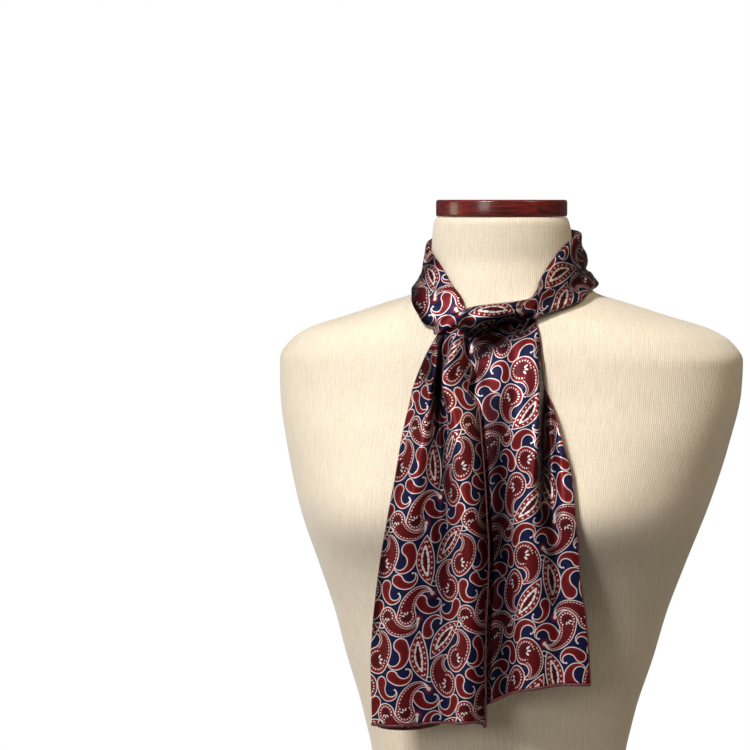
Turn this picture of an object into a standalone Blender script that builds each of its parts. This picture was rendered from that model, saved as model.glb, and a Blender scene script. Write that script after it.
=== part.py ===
"""An oblong silk scarf, wound once round the neck of a limbless dress form and tied over in front.

Metres, +Z up, the form's front towards -Y, the origin at the centre of its flat underside.
Left and right are as seen from the front. "Below" is measured down from the top of the neck cap.
"""
import math

import bmesh
import bpy
import numpy as np

HEIGHT = 0.720
CAP_RADIUS = 0.055
CAP_THICKNESS = 0.0143
CAP_EDGE = 0.003
SEAM = 0.0003
CLOTH = 0.0012
REST = 0.0012
HEM_RADIUS = 0.0012

FORM_COLUMNS = 36
CAP_SIDES = 32
STRAND_AROUND = 11
MERGE = 0.00005
SHARP_ANGLE = 40.0


def table(names, *rows):
    """A table with named columns, a row for each section."""
    return {name: np.array([row[place] for row in rows]) for place, name in enumerate(names.split())}


FORM = table(
    "below half_width centre front back square",
    (0.0146, 0.0545, -0.010, 0.054, 0.054, 2.0),
    (0.032, 0.0575, -0.008, 0.057, 0.056, 2.0),
    (0.050, 0.0610, -0.004, 0.062, 0.059, 2.0),
    (0.066, 0.0655, 0.000, 0.070, 0.062, 2.0),
    (0.078, 0.0765, 0.006, 0.080, 0.066, 2.0),
    (0.087, 0.1040, 0.012, 0.089, 0.068, 2.05),
    (0.098, 0.1380, 0.018, 0.099, 0.070, 2.15),
    (0.108, 0.1700, 0.023, 0.108, 0.072, 2.25),
    (0.118, 0.1870, 0.026, 0.115, 0.074, 2.35),
    (0.135, 0.1980, 0.027, 0.121, 0.078, 2.4),
    (0.160, 0.1970, 0.025, 0.126, 0.083, 2.4),
    (0.204, 0.1880, 0.016, 0.134, 0.093, 2.4),
    (0.250, 0.1745, 0.005, 0.133, 0.100, 2.4),
    (0.307, 0.1535, -0.008, 0.111, 0.104, 2.35),
    (0.345, 0.1400, -0.014, 0.096, 0.102, 2.3),
    (0.380, 0.1305, -0.018, 0.086, 0.098, 2.2),
    (0.430, 0.1150, -0.022, 0.076, 0.094, 2.1),
    (0.478, 0.1060, -0.022, 0.072, 0.092, 2.1),
    (0.505, 0.1190, -0.018, 0.080, 0.096, 2.1),
    (0.530, 0.1370, -0.012, 0.090, 0.104, 2.15),
    (0.560, 0.1540, -0.004, 0.104, 0.112, 2.2),
    (0.591, 0.1660, 0.000, 0.110, 0.118, 2.2),
    (0.650, 0.1740, 0.002, 0.112, 0.122, 2.2),
    (0.714, 0.1725, 0.000, 0.110, 0.121, 2.2),
    (0.720, 0.1690, 0.000, 0.1065, 0.1175, 2.2),
)
FORM_STEP = 0.026
BUST = {"side": 0.096, "below": 0.255, "half_width": 0.052, "half_height": 0.042, "rise": 0.016}

# The strand starts under the knot and turns clockwise, seen from above, round the back of the neck.
STRAND = table(
    "inner_turn inner_below outer_turn outer_below lift plump",
    (8.2, 0.0945, 18.6, 0.1062, 0.0016, 0.0022),
    (12.2, 0.0825, 24.2, 0.1050, 0.0016, 0.0034),
    (19.2, 0.0740, 32.0, 0.0958, 0.0016, 0.0038),
    (31.4, 0.0610, 46.5, 0.0838, 0.0016, 0.0034),
    (48.3, 0.0480, 66.0, 0.0785, 0.0016, 0.0026),
    (70.0, 0.0385, 82.0, 0.0755, 0.0016, 0.0020),
    (95.0, 0.0335, 100.0, 0.0750, 0.0016, 0.0018),
    (135.0, 0.0275, 135.0, 0.0765, 0.0016, 0.0020),
    (180.0, 0.0245, 180.0, 0.0800, 0.0016, 0.0022),
    (225.0, 0.0250, 225.0, 0.0785, 0.0016, 0.0022),
    (262.0, 0.0285, 264.0, 0.0765, 0.0016, 0.0022),
    (292.0, 0.0370, 286.0, 0.0780, 0.0016, 0.0026),
    (304.0, 0.0450, 299.0, 0.0815, 0.0016, 0.0030),
    (314.0, 0.0545, 311.0, 0.0865, 0.0016, 0.0032),
    (325.0, 0.0680, 325.0, 0.0930, 0.0024, 0.0032),
    (331.0, 0.0780, 333.5, 0.0975, 0.0036, 0.0030),
    (335.0, 0.0840, 337.0, 0.1000, 0.0038, 0.0026),
    (342.0, 0.0874, 346.0, 0.1045, 0.0038, 0.0046),
    (350.0, 0.0892, 352.0, 0.1090, 0.0038, 0.0060),
    (357.7, 0.0905, 357.0, 0.1140, 0.0040, 0.0066),
    (363.5, 0.0925, 362.5, 0.1170, 0.0062, 0.0058),
    (367.0, 0.0945, 366.5, 0.1125, 0.0088, 0.0036),
    (371.5, 0.0970, 370.3, 0.1080, 0.0092, 0.0026),
    (375.5, 0.1002, 373.5, 0.1098, 0.0090, 0.0024),
    (378.5, 0.1042, 376.5, 0.1118, 0.0078, 0.0020),
    (380.6, 0.1076, 379.4, 0.1124, 0.0030, 0.0016),
)
ROLL_START = -100.0
ROLL_END = 230.0
ROLL_ROUND = 0.7
STRETCHES = table(
    "start end sections",
    (8.2, 335.0, 42),
    (335.4, 366.0, 12),
    (366.4, 380.6, 9),
)
STRETCH_NAMES = ("scarf_neck_loop", "scarf_front_band", "scarf_knot_wrap")

LEFT_EDGES = table(
    "below left right",
    (0.100, -0.0320, -0.0120),
    (0.110, -0.0362, -0.0130),
    (0.124, -0.0427, -0.0105),
    (0.1375, -0.0475, -0.0042),
    (0.154, -0.0530, -0.0040),
    (0.166, -0.0551, 0.0031),
    (0.198, -0.0592, 0.0092),
    (0.224, -0.0613, 0.0125),
    (0.254, -0.0651, 0.0156),
    (0.285, -0.0707, 0.0174),
    (0.320, -0.0757, 0.0162),
    (0.350, -0.0787, 0.0148),
    (0.374, -0.0800, 0.0148),
    (0.427, -0.0785, 0.0154),
)
LEFT_TOP = table("across below", (0.0, 0.1125), (1.0, 0.1010))
LEFT_HEM = table(
    "across below",
    (0.0, 0.4245),
    (0.38, 0.4230),
    (0.60, 0.4210),
    (0.74, 0.4195),
    (0.86, 0.4185),
    (0.97, 0.4210),
    (1.0, 0.4245),
)
LEFT_FOLDS = {
    "left panel": table(
        "below side half_width height",
        (0.109, -0.0330, 0.004, 0.0008),
        (0.124, -0.0385, 0.005, 0.0065),
        (0.147, -0.0445, 0.006, 0.0115),
        (0.180, -0.0480, 0.009, 0.0105),
        (0.227, -0.0490, 0.012, 0.0080),
        (0.290, -0.0520, 0.015, 0.0060),
        (0.425, -0.0580, 0.016, 0.0060),
    ),
    "right ridge": table(
        "below side half_width height",
        (0.101, -0.0190, 0.006, 0.0005),
        (0.118, -0.0185, 0.006, 0.0100),
        (0.146, -0.0165, 0.007, 0.0130),
        (0.178, -0.0105, 0.008, 0.0125),
        (0.242, -0.0035, 0.010, 0.0105),
        (0.289, -0.0014, 0.010, 0.0095),
        (0.353, -0.0025, 0.010, 0.0090),
        (0.425, -0.0057, 0.011, 0.0090),
    ),
    "front edge": table(
        "below side half_width height",
        (0.150, -0.0040, 0.004, 0.0001),
        (0.178, 0.0040, 0.005, 0.0030),
        (0.224, 0.0095, 0.006, 0.0050),
        (0.285, 0.0160, 0.006, 0.0060),
        (0.427, 0.0150, 0.006, 0.0060),
    ),
}
LEFT_LIFTS = table(
    "below front back",
    (0.100, 0.0058, 0.0030),
    (0.114, 0.0063, 0.0034),
    (0.132, 0.0076, 0.0042),
)
FOLD_SHARE = 0.03
BACK_LAYER_SHARE = 0.60
BACK_LAYER_DROP = 0.0045
LEFT_ROWS = 25
LEFT_FRONT_COLUMNS = 21
LEFT_BACK_COLUMNS = 5
FOLD_COLUMNS = 4

RIGHT_EDGES = table(
    "below left right",
    (0.094, -0.0130, 0.0390),
    (0.0987, -0.0140, 0.0430),
    (0.117, -0.0150, 0.0494),
    (0.135, -0.0155, 0.0516),
    (0.152, -0.0160, 0.0545),
    (0.158, -0.0160, 0.0579),
    (0.177, -0.0160, 0.0679),
    (0.200, -0.0160, 0.0760),
    (0.219, -0.0178, 0.0827),
    (0.240, -0.0198, 0.0869),
    (0.282, -0.0250, 0.0911),
    (0.308, -0.0270, 0.0927),
    (0.334, -0.0285, 0.0963),
    (0.366, -0.0295, 0.0988),
    (0.414, -0.0300, 0.1009),
)
RIGHT_TOP = table("across below", (0.0, 0.1060), (1.0, 0.0950))
RIGHT_HEM = table(
    "across below",
    (0.0, 0.4140),
    (0.325, 0.4060),
    (0.52, 0.3950),
    (0.65, 0.3900),
    (0.91, 0.3865),
    (1.0, 0.3870),
)
RIGHT_FOLDS = {
    "middle ridge": table(
        "below side half_width height",
        (0.104, 0.0300, 0.010, 0.0002),
        (0.130, 0.0360, 0.012, 0.0060),
        (0.186, 0.0430, 0.014, 0.0105),
        (0.257, 0.0480, 0.014, 0.0110),
        (0.320, 0.0527, 0.015, 0.0100),
        (0.392, 0.0544, 0.016, 0.0090),
    ),
    "flap": table(
        "below side half_width height",
        (0.150, 0.0640, 0.004, 0.0002),
        (0.177, 0.0690, 0.005, 0.0050),
        (0.200, 0.0735, 0.006, 0.0060),
        (0.240, 0.0790, 0.009, 0.0055),
        (0.300, 0.0860, 0.012, 0.0040),
        (0.390, 0.0930, 0.014, 0.0040),
    ),
}
RIGHT_LIFT = REST + CLOTH / 2
RIGHT_ROWS = 24
RIGHT_COLUMNS = 25

COLOURS = {
    "jersey": (0.80, 0.69, 0.54, 1.0),
    "mahogany": (0.13, 0.028, 0.022, 1.0),
    "silk": (0.27, 0.035, 0.040, 1.0),
    "hem": (0.10, 0.012, 0.018, 1.0),
}
FINISHES = {"jersey": 0.90, "mahogany": 0.25, "silk": 0.45, "hem": 0.55}


def read(rows, name, place):
    """Read a column at places along the first column, on a smooth curve that doesn't overshoot its rows."""
    along = next(iter(rows.values()))
    values = rows[name]
    steps = np.diff(along)
    slopes = np.diff(values) / steps
    before, after = slopes[:-1], slopes[1:]
    weigh_before = 2 * steps[1:] + steps[:-1]
    weigh_after = steps[1:] + 2 * steps[:-1]
    same_way = before * after > 0
    safe_before = np.where(same_way, before, 1.0)
    safe_after = np.where(same_way, after, 1.0)
    mean = (weigh_before + weigh_after) / (weigh_before / safe_before + weigh_after / safe_after)
    tangents = np.concatenate(([slopes[0]], np.where(same_way, mean, 0.0), [slopes[-1]]))
    place = np.clip(place, along[0], along[-1])
    cell = np.clip(np.searchsorted(along, place) - 1, 0, len(steps) - 1)
    part = (place - along[cell]) / steps[cell]
    return (
        (1 + 2 * part) * (1 - part) ** 2 * values[cell]
        + part * (1 - part) ** 2 * steps[cell] * tangents[cell]
        + part**2 * (3 - 2 * part) * values[cell + 1]
        + part**2 * (part - 1) * steps[cell] * tangents[cell + 1]
    )


def bust_rise(side, below):
    """How far the two low rises of the chest stand out at a place on the front."""
    rise = 0.0
    for centre in (-BUST["side"], BUST["side"]):
        across = (side - centre) / BUST["half_width"]
        down = (below - BUST["below"]) / BUST["half_height"]
        rise = rise + BUST["rise"] * np.exp(-(across**2) - down**2)
    return rise


def on_form(turn, below):
    """A point on the form's surface. Turn is in degrees, 0 in front and 90 at the left side."""
    turn = math.radians(turn)
    half_width, centre, square = (read(FORM, name, below) for name in ("half_width", "centre", "square"))
    depth = read(FORM, "front" if math.cos(turn) > 0 else "back", below)
    reach = (abs(math.sin(turn) / half_width) ** square + abs(math.cos(turn) / depth) ** square) ** (-1 / square)
    side = -math.sin(turn) * reach
    forward = centre - math.cos(turn) * reach
    if math.cos(turn) > 0:
        forward -= bust_rise(side, below)
    return np.array((side, forward, HEIGHT - below))


def off_form(turn, below, lift):
    """A point moved out from the form's surface, square to it."""
    step_turn, step_below = 0.5, 0.0005
    round_it = on_form(turn + step_turn, below) - on_form(turn - step_turn, below)
    down_it = on_form(turn, below + step_below) - on_form(turn, below - step_below)
    out = np.cross(round_it, down_it)
    return on_form(turn, below) + lift * out / np.linalg.norm(out)


# Cloth is hung from the chest's surface at these levels, softened over 21 of them.
HANG_LEVELS = np.arange(0.090, 0.460, 0.001)
HANG_SOFTEN = np.ones(21) / 21


def hang(side, below):
    """Where cloth lies on the chest, and below the chest's fullest line hangs straight down."""
    half_width, centre, front, square = (
        read(FORM, name, HANG_LEVELS) for name in ("half_width", "centre", "front", "square")
    )
    bulge = (1 - (abs(side) / half_width) ** square) ** (1 / square)
    surface = centre - front * bulge - bust_rise(side, HANG_LEVELS)
    furthest = np.minimum.accumulate(surface)
    padded = np.pad(furthest, len(HANG_SOFTEN) // 2, mode="edge")
    return np.interp(below, HANG_LEVELS, np.convolve(padded, HANG_SOFTEN, mode="valid"))


def fold_height(folds, side, below):
    """How far the soft ridges of a tail stand out at a place on it."""
    height = 0.0
    for fold in folds.values():
        across = (side - read(fold, "side", below)) / read(fold, "half_width", below)
        height += read(fold, "height", below) * np.exp(-(across**2))
    return height


def tail_place(edges, top, hem, across, along, drop=0.0):
    """A place on a hanging tail: across from its left edge, along from the knot down to its hem."""
    start = read(top, "below", across)
    below = start + along * (read(hem, "below", across) + drop - start)
    side = read(edges, "left", below) * (1 - across) + read(edges, "right", below) * across
    return side, below


def left_tail_point(place, along):
    """The left tail is folded back on itself: place runs from -1 behind, 0 at the fold, to 1 in front."""
    share = max(0.0, abs(place) - FOLD_SHARE) / (1 - FOLD_SHARE)
    layer = share if place > 0 else share * BACK_LAYER_SHARE
    drop = 0.0 if place > 0 else BACK_LAYER_DROP * math.sqrt(math.sin(math.pi * share))
    side, below = tail_place(LEFT_EDGES, LEFT_TOP, LEFT_HEM, layer, along, drop)
    front = read(LEFT_LIFTS, "front", below)
    back = read(LEFT_LIFTS, "back", below)
    radius = (front - back) / 2
    if share == 0.0:
        angle = math.pi / 2 * place / FOLD_SHARE
        lift = back + radius * (1 + math.sin(angle))
        inset = radius * (1 - math.cos(angle))
    else:
        lift = front + fold_height(LEFT_FOLDS, side, below) if place > 0 else back
        inset = radius * (1 - share)
    return np.array((side + inset, hang(side, below) - lift, HEIGHT - below))


def right_tail_point(across, along):
    """The right tail hangs behind the left one, and shows from its middle to its right edge."""
    side, below = tail_place(RIGHT_EDGES, RIGHT_TOP, RIGHT_HEM, across, along)
    lift = RIGHT_LIFT + fold_height(RIGHT_FOLDS, side, below)
    return np.array((side, hang(side, below) - lift, HEIGHT - below))


def strand_point(turn, roll):
    """A point on the rolled strand: roll is in degrees round its flattened section, open underneath."""
    inner_below, outer_turn, outer_below, lift, plump = (
        read(STRAND, name, turn) for name in ("inner_below", "outer_turn", "outer_below", "lift", "plump")
    )
    roll = math.radians(roll)
    across = (1 - math.cos(roll)) / 2
    bulge = math.copysign(abs(math.sin(roll)) ** ROLL_ROUND, math.sin(roll))
    place_turn = turn + across * (outer_turn - turn)
    place_below = inner_below + across * (outer_below - inner_below)
    return off_form(place_turn, place_below, lift + plump * (1 + bulge))


def material(name):
    """A plain finish of its own for one piece."""
    finish = bpy.data.materials.new(name)
    finish.use_nodes = True
    shader = finish.node_tree.nodes["Principled BSDF"]
    shader.inputs["Base Color"].default_value = COLOURS[name]
    shader.inputs["Roughness"].default_value = FINISHES[name]
    shader.inputs["Metallic"].default_value = 0.0
    return finish


def add(name, mesh, finish):
    """Turn a bmesh into a named object with its own material, shaded smooth."""
    data = bpy.data.meshes.new(name)
    mesh.to_mesh(data)
    mesh.free()
    data.materials.append(material(finish))
    data.shade_smooth()
    data.set_sharp_from_angle(angle=math.radians(SHARP_ANGLE))
    piece = bpy.data.objects.new(name, data)
    bpy.context.scene.collection.objects.link(piece)
    return piece


def grid(columns, rows, place):
    """A grid of faces, each corner set by place(column, row)."""
    mesh = bmesh.new()
    corners = bmesh.ops.create_grid(mesh, x_segments=columns, y_segments=rows, size=1.0)["verts"]
    for number, corner in enumerate(corners):
        corner.co = place(number % (columns + 1), number // (columns + 1))
    return mesh


def cloth(name, mesh):
    """Give a sheet its wall, half of it on each side."""
    bmesh.ops.recalc_face_normals(mesh, faces=mesh.faces)
    piece = add(name, mesh, "silk")
    wall = piece.modifiers.new("wall", "SOLIDIFY")
    wall.thickness = CLOTH
    wall.offset = 0.0
    return piece


def form_levels():
    """The form's rings: one at each row of its table, and more where the rows are far apart."""
    levels = []
    rows = FORM["below"]
    for upper, lower in zip(rows[:-1], rows[1:]):
        parts = max(1, math.ceil((lower - upper) / FORM_STEP))
        levels += [upper + (lower - upper) * part / parts for part in range(parts)]
    return levels + [rows[-1]]


def dress_form():
    levels = form_levels()
    mesh = grid(FORM_COLUMNS, len(levels) - 1,
                lambda column, row: on_form(360.0 * column / FORM_COLUMNS, levels[row]))
    bmesh.ops.remove_doubles(mesh, verts=mesh.verts, dist=MERGE)
    rims = [edge for edge in mesh.edges if edge.is_boundary]
    bmesh.ops.holes_fill(mesh, edges=rims, sides=0)
    bmesh.ops.recalc_face_normals(mesh, faces=mesh.faces)
    return add("dress_form_torso", mesh, "jersey")


def neck_cap():
    mesh = bmesh.new()
    bmesh.ops.create_cone(mesh, cap_ends=True, segments=CAP_SIDES, radius1=CAP_RADIUS, radius2=CAP_RADIUS,
                          depth=CAP_THICKNESS)
    rims = [edge for edge in mesh.edges if abs(edge.verts[0].co.z - edge.verts[1].co.z) < MERGE]
    bmesh.ops.bevel(mesh, geom=rims, offset=CAP_EDGE, segments=2, profile=0.5, affect="EDGES", material=-1)
    middle = (0.0, read(FORM, "centre", 0.0), HEIGHT - CAP_THICKNESS / 2)
    bmesh.ops.translate(mesh, verts=mesh.verts, vec=middle)
    return add("neck_cap", mesh, "mahogany")


def strand_stretches():
    """The stretches of the strand that show: round the neck, across the front, and over the knot."""
    pieces = []
    for place, name in enumerate(STRETCH_NAMES):
        start, end, sections = (STRETCHES[key][place] for key in ("start", "end", "sections"))
        turns = np.linspace(start, end, int(sections) + 1)
        rolls = np.linspace(ROLL_START, ROLL_END, STRAND_AROUND + 1)
        mesh = grid(STRAND_AROUND, len(turns) - 1,
                    lambda column, row: strand_point(turns[row], rolls[column]))
        pieces.append(cloth(name, mesh))
    return pieces


def left_places():
    """Columns of the left tail, from its back layer round the fold to its front edge."""
    back = np.linspace(-1.0, -FOLD_SHARE, LEFT_BACK_COLUMNS + 1)[:-1]
    fold = np.linspace(-FOLD_SHARE, FOLD_SHARE, FOLD_COLUMNS + 1)
    front = np.linspace(FOLD_SHARE, 1.0, LEFT_FRONT_COLUMNS + 1)[1:]
    return np.concatenate((back, fold, front))


def tails():
    places = left_places()
    left = grid(len(places) - 1, LEFT_ROWS,
                lambda column, row: left_tail_point(places[column], row / LEFT_ROWS))
    right = grid(RIGHT_COLUMNS, RIGHT_ROWS,
                 lambda column, row: right_tail_point(column / RIGHT_COLUMNS, row / RIGHT_ROWS))
    return cloth("scarf_left_tail", left), cloth("scarf_right_tail", right)


def hem_roll(name, route):
    """A rolled hem: a thin tube just under the edge of a tail."""
    line = bpy.data.curves.new(name, "CURVE")
    line.dimensions = "3D"
    line.bevel_depth = HEM_RADIUS
    line.bevel_resolution = 1
    line.use_fill_caps = True
    spline = line.splines.new("POLY")
    spline.points.add(len(route) - 1)
    for point, place in zip(spline.points, route):
        point.co = (*place, 1.0)
    line.materials.append(material("hem"))
    piece = bpy.data.objects.new(name, line)
    bpy.context.scene.collection.objects.link(piece)
    return piece


def under_edge(edge):
    """The route of a hem roll: its radius and a seam below an edge, square to it."""
    edge = np.array(edge)
    along = np.gradient(edge, axis=0)
    along /= np.linalg.norm(along, axis=1)[:, None]
    down = np.array((0.0, 0.0, -1.0)) + along * along[:, 2:]
    down /= np.linalg.norm(down, axis=1)[:, None]
    return edge + (HEM_RADIUS + SEAM) * down


def hems():
    left = under_edge([left_tail_point(place, 1.0) for place in left_places()])
    right = under_edge([right_tail_point(column / RIGHT_COLUMNS, 1.0) for column in range(RIGHT_COLUMNS + 1)])
    return hem_roll("left_tail_hem", left), hem_roll("right_tail_hem", right)


def main():
    for piece in list(bpy.data.objects):
        bpy.data.objects.remove(piece)
    dress_form()
    neck_cap()
    strand_stretches()
    tails()
    hems()


main()
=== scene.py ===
"""The looks of an oblong silk scarf on a dress form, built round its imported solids.

Laid out as an add-on and run as a script. Metres, +Z up, the form's front towards -Y.
Left and right are as seen from the front. "Below" is measured down from the top of the neck cap.
The print is worked out in millimetres on the cloth's own flat width and length.
"""

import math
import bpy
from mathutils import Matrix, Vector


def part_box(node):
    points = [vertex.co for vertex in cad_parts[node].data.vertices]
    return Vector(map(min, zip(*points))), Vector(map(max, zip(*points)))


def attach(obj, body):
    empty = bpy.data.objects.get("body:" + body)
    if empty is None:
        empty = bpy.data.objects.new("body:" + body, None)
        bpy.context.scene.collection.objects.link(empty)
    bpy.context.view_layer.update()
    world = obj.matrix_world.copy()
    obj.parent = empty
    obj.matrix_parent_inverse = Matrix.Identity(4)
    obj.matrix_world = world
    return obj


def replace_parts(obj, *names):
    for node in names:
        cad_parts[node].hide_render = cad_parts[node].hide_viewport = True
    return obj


bl_info = {
    "name": "Silk Scarf on a Dress Form",
    "version": (1, 0, 0),
    "blender": (4, 5, 0),
    "location": "View3D > Sidebar > Scarf",
    "description": "Builds a printed silk scarf, its dress form and a plain studio round the packed solids",
    "category": "Object",
}

import bmesh
import bpy
import numpy as np
from mathutils import Vector

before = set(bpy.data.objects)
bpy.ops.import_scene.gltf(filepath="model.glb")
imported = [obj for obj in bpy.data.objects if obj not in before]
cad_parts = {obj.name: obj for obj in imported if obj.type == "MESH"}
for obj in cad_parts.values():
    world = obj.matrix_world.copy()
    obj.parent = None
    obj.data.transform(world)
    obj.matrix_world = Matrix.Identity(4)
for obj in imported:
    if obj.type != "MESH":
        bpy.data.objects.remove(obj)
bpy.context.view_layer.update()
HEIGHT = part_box("neck_cap")[1].z
BODY = "root"
FLAT = "cloth"
# The mesh layer that holds the painted shade of the folds, and the power that turns its strength into
# darkening.
PAINTED_SHADE_LAYER = "deep"
PAINTED_SHADE_POWER = 2.2

# The tables' columns that hold lengths. They are written in millimetres and read in metres.
LENGTHS = """
below half_width centre front back inner_below outer_below lift plump left right side height
from_side from_below to_side to_below
""".split()


def table(names, *rows):
    """A table with named columns, a row for each section."""
    columns = {name: np.array(column) for name, column in zip(names.split(), zip(*rows))}
    return {name: column / 1000 if name in LENGTHS else column for name, column in columns.items()}


# The form's level sections, from the neck cap down.
FORM = table(
    "below half_width centre front back square",
    (14.6, 54.5, -10, 54, 54, 2),
    (17.5, 56.2, -10, 55.5, 55, 2),
    (24, 57.8, -9, 57, 56, 2),
    (34, 58.8, -8, 58, 57, 2),
    (50, 61, -4, 62, 59, 2),
    (66, 65.5, 0, 70, 62, 2),
    (78, 76.5, 6, 80, 66, 2),
    (87, 104, 12, 89, 68, 2.05),
    (98, 138, 18, 99, 70, 2.15),
    (108, 170, 23, 108, 72, 2.25),
    (118, 187, 26, 115, 74, 2.35),
    (135, 198, 27, 121, 78, 2.4),
    (160, 197, 25, 126, 83, 2.4),
    (204, 188, 16, 134, 93, 2.4),
    (250, 174.5, 5, 133, 100, 2.4),
    (307, 153.5, -8, 111, 104, 2.35),
    (345, 140, -14, 96, 102, 2.3),
    (380, 130.5, -18, 86, 98, 2.2),
    (430, 115, -22, 76, 94, 2.1),
    (478, 106, -22, 72, 92, 2.1),
    (505, 119, -18, 80, 96, 2.1),
    (530, 137, -12, 90, 104, 2.15),
    (560, 154, -4, 104, 112, 2.2),
    (591, 166, 0, 110, 118, 2.2),
    (650, 174, 2, 112, 122, 2.2),
    (714, 172.5, 0, 110, 121, 2.2),
    (720, 169, 0, 106.5, 117.5, 2.2),
)
BUST = {"side": 0.096, "below": 0.255, "half_width": 0.052, "half_height": 0.042, "rise": 0.016}
FORM_COLUMNS = 144
FORM_LEVELS = 150
# Where the print starts on each cloth's flat width and length.
STRAND_PRINT, LEFT_PRINT, RIGHT_PRINT = (0.012, 0.020), (0.021, 0.348), (0.060, 0.006)

# The strand starts under the knot and turns clockwise, seen from above, round the back of the neck.
STRAND = table(
    "inner_turn inner_below outer_turn outer_below lift plump",
    (8.2, 94.5, 18.6, 106.2, 1.6, 2.2),
    (12.2, 82.5, 24.2, 105, 1.6, 3.4),
    (19.2, 74, 32, 95.8, 1.6, 3.8),
    (31.4, 61, 46.5, 83.8, 1.6, 3.4),
    (48.3, 48, 66, 78.5, 1.6, 2.6),
    (70, 38.5, 82, 75.5, 1.6, 2),
    (95, 33.5, 100, 75, 1.6, 1.8),
    (135, 27.5, 135, 76.5, 1.6, 2),
    (180, 24.5, 180, 80, 1.6, 2.2),
    (225, 25, 225, 78.5, 1.6, 2.2),
    (244, 26.5, 245, 77, 1.6, 3.2),
    (262, 28.5, 264, 76.8, 1.6, 4.2),
    (292, 37, 286, 79, 1.6, 4.4),
    (304, 45, 299, 82.6, 1.6, 4),
    (314, 54.5, 311, 87, 1.6, 3.6),
    (325, 68, 325, 93, 2.4, 3.2),
    (331, 78, 333.5, 97.5, 3.6, 3),
    (335, 84, 337, 100, 3.8, 2.6),
    (342, 87.4, 346, 104.5, 3.8, 6),
    (350, 89.2, 352, 109, 3.8, 8.6),
    (357.7, 90.5, 357, 114, 4, 9.8),
    (363.5, 92.5, 362.5, 117, 6.2, 8),
    (367, 94.5, 366.5, 112.5, 8.8, 4.6),
    (371.5, 97, 370.3, 108, 9.2, 2.6),
    (375.5, 100.2, 373.5, 109.8, 9, 2.4),
    (378.5, 104.2, 376.5, 111.8, 7.8, 2),
    (380.6, 107.6, 379.4, 112.4, 3, 1.6),
)
ROLL_START = -100.0
ROLL_END = 230.0
ROLL_ROUND = table(
    "turn power",
    (8.2, 0.7), (225, 0.7), (248, 0.38), (296, 0.38), (314, 0.7), (332, 0.7), (346, 1.1), (360, 1.1),
    (369, 0.8), (380.6, 0.7),
)
# How soon the creases reach their full depth, from the strand's edges to its outside.
CREASES_OUTSIDE = 1.5
STRAND_SECTIONS = 300
STRAND_AROUND = 48
# Creases of the strand: places are turns in degrees and shares across the strand from its upper edge.
STRAND_CREASES = table(
    "from_turn from_across to_turn to_across half_width height",
    (20, 0.3, 60, 0.34, 3, 0.8), (14, 0.62, 50, 0.66, 3.5, -1.1), (60, 0.6, 150, 0.52, 4, -1),
    (110, 0.3, 200, 0.36, 4, 1), (170, 0.7, 260, 0.62, 4.5, -1), (230, 0.34, 300, 0.42, 4, 0.9),
    (294, 0.8, 312, 0.72, 2.2, -2.2), (240, 0.64, 294, 0.66, 3.6, -3.4), (240, 0.22, 280, 0.24, 8, -2.2),
    (318, 0.5, 334, 0.62, 2.6, -1.6), (330, 0.2, 336, 0.95, 2, -2.4), (340, 0.45, 358, 0.5, 2.6, -1.2),
)
# Painted shade on the strand, where its cloth is turned under or pressed together and lies in shade; the
# depth column, from 0 to 1, is how dark it is painted.
STRAND_PAINTED_SHADE = table(
    "from_turn from_across to_turn to_across half_width depth",
    (336, 0.84, 343, 0.76, 6, 0.85), (343, 0.76, 364, 0.66, 8, 0.86), (343, 0.95, 364, 0.9, 9, 0.985),
    (363, 0.95, 369, 0.98, 5, 0.85), (331, 0.2, 334.5, 0.95, 2, 0.65), (294, 0.8, 312, 0.74, 2.4, 0.6),
    (240, 0.64, 294, 0.66, 3, 0.5), (10, 0.95, 60, 0.97, 7, 0.6), (46, 0.1, 46, 0.95, 9, 0.45),
    (276, 0.55, 330, 0.5, 32, 0.36), (366, 0.1, 366, 0.9, 2, 0.55), (371, 0.2, 380, 0.35, 1.2, 0.45),
    (371, 0.7, 380, 0.62, 1.2, 0.45),
)
# Metres to a degree of turn, and across the strand.
STRAND_STRETCH = (0.0014, 0.050)

LEFT_EDGES = table(
    "below left right",
    (100, -32, -12), (110, -36.2, -13), (124, -42.7, -10.5), (137.5, -47.5, -4.2), (154, -53, -4),
    (166, -55.1, 3.1), (198, -59.2, 9.2), (224, -61.3, 12.5), (254, -65.1, 15.6), (285, -70.7, 17.4),
    (320, -75.7, 16.2), (350, -78.7, 14.8), (374, -80, 14.8), (427, -78.5, 15.4),
)
LEFT_TOP = table("across below", (0, 104), (0.45, 104), (1, 100))
LEFT_HEM = table(
    "across below",
    (0, 424.5), (0.38, 423), (0.6, 421), (0.74, 419.5), (0.86, 418.5), (0.97, 421), (1, 424.5),
)
FOLD = "below side half_width height lean"
LEFT_FOLDS = {
    "left panel": table(
        FOLD,
        (109, -33, 4, 0.9, 0), (124, -39.5, 5, 11.2, 0.4), (147, -44.5, 8, 18.5, 0.5),
        (180, -46.5, 11, 18.5, 0.5), (227, -48, 14, 15.7, 0.4), (290, -52, 16, 10.1, 0.2),
        (425, -58, 17, 9, 0.1),
    ),
    "right ridge": table(
        FOLD,
        (101, -19, 6, 0.6, 0), (118, -18, 6, 14.6, 0), (146, -15.5, 9, 22, -0.3),
        (178, -8.5, 11, 21.4, -0.1), (242, -3, 12, 18.9, 0.2), (289, -1.4, 12.5, 17.7, 0.3),
        (353, -2, 12.5, 17.1, 0.3), (425, -4, 12.5, 16.5, 0.2),
    ),
}
LEFT_LIFTS = table("below front back", (100, 5.8, 3), (114, 6.3, 3.4), (132, 7.6, 4.2))
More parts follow.
